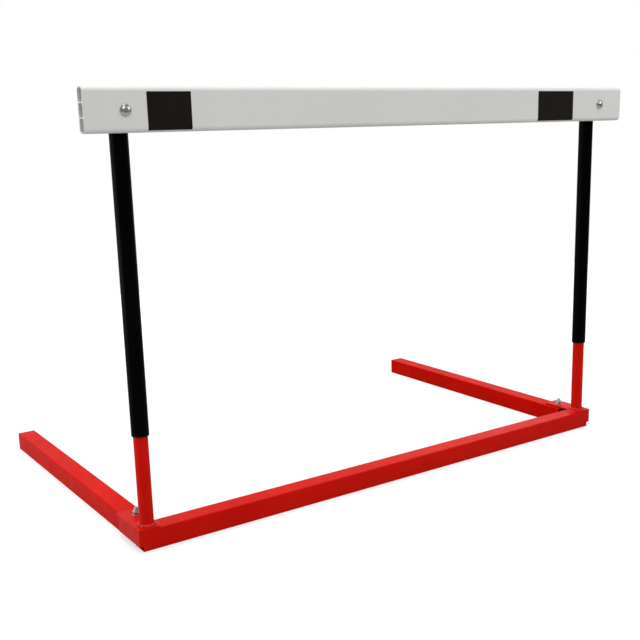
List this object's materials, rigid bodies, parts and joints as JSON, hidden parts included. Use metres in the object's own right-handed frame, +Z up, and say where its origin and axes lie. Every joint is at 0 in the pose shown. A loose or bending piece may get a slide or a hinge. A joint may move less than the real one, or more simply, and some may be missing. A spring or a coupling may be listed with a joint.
{
  "type": "track hurdle",
  "caption": "Track hurdle with a plastic crossbar on telescoping uprights, standing on a square-tube base whose legs fold.",
  "frame": {"origin": "middle of the footprint, on the floor", "axes": "+X along the crossbar, +Y from the crossbar back along the legs, +Z up"},
  "size_m": [1.219, 0.7106, 0.767],
  "materials": {
    "red_paint": "glossy red powder coat on steel",
    "black_paint": "glossy black powder coat on steel",
    "white_plastic": "satin off-white extruded plastic",
    "black_film": "matte black film",
    "black_plastic": "moulded black plastic",
    "zinc": "bright zinc plating on steel",
    "spring_steel": "bare spring steel"
  },
  "bodies": {
    "base": {"front_tube": "red_paint", "left_corner_bracket": "red_paint", "right_corner_bracket": "red_paint", "left_plate_weld": "red_paint", "right_plate_weld": "red_paint", "left_post": "red_paint", "right_post": "red_paint", "left_post_weld": "red_paint", "right_post_weld": "red_paint", "left_post_plug": "black_plastic", "right_post_plug": "black_plastic", "left_pivot_bolt": "zinc", "right_pivot_bolt": "zinc", "left_pivot_washer": "zinc", "right_pivot_washer": "zinc", "left_pivot_nut": "zinc", "right_pivot_nut": "zinc"},
    "upper": {"crossbar": "white_plastic", "left_black_band": "black_film", "right_black_band": "black_film", "left_sleeve": "black_paint", "right_sleeve": "black_paint", "left_guide_bush": "black_plastic", "right_guide_bush": "black_plastic", "left_sleeve_cap": "black_plastic", "right_sleeve_cap": "black_plastic", "left_bar_bolt": "zinc", "right_bar_bolt": "zinc", "left_bar_washer": "zinc", "right_bar_washer": "zinc", "left_bar_nut": "zinc", "right_bar_nut": "zinc"},
    "left_leg": {"left_leg_tube": "red_paint", "left_leg_end_plate": "red_paint"},
    "right_leg": {"right_leg_tube": "red_paint", "right_leg_end_plate": "red_paint"},
    "left_button": {"left_snap_clip": "spring_steel"},
    "right_button": {"right_snap_clip": "spring_steel"}
  },
  "joints": [
    {"name": "height_slide", "type": "slide", "parent": "base", "child": "upper", "axis": [0, 0, 1], "range_m": [0, 0.3048]},
    {"name": "left_leg_fold", "type": "hinge", "parent": "base", "child": "left_leg", "pos_m": [-0.53825, -0.2647, 0.03], "axis": [0, 0, -1], "range_deg": [0, 90]},
    {"name": "right_leg_fold", "type": "hinge", "parent": "base", "child": "right_leg", "pos_m": [0.53825, -0.2647, 0.03], "axis": [0, 0, 1], "range_deg": [0, 84]},
    {"name": "left_button_press", "type": "slide", "parent": "base", "child": "left_button", "axis": [0, -1, 0], "range_m": [0, 0.005], "stiffness_N_per_m": 1500, "springref_m": -0.004, "deforming": ["left_snap_clip"]},
    {"name": "right_button_press", "type": "slide", "parent": "base", "child": "right_button", "axis": [0, -1, 0], "range_m": [0, 0.005], "stiffness_N_per_m": 1500, "springref_m": -0.004, "deforming": ["right_snap_clip"]}
  ]
}
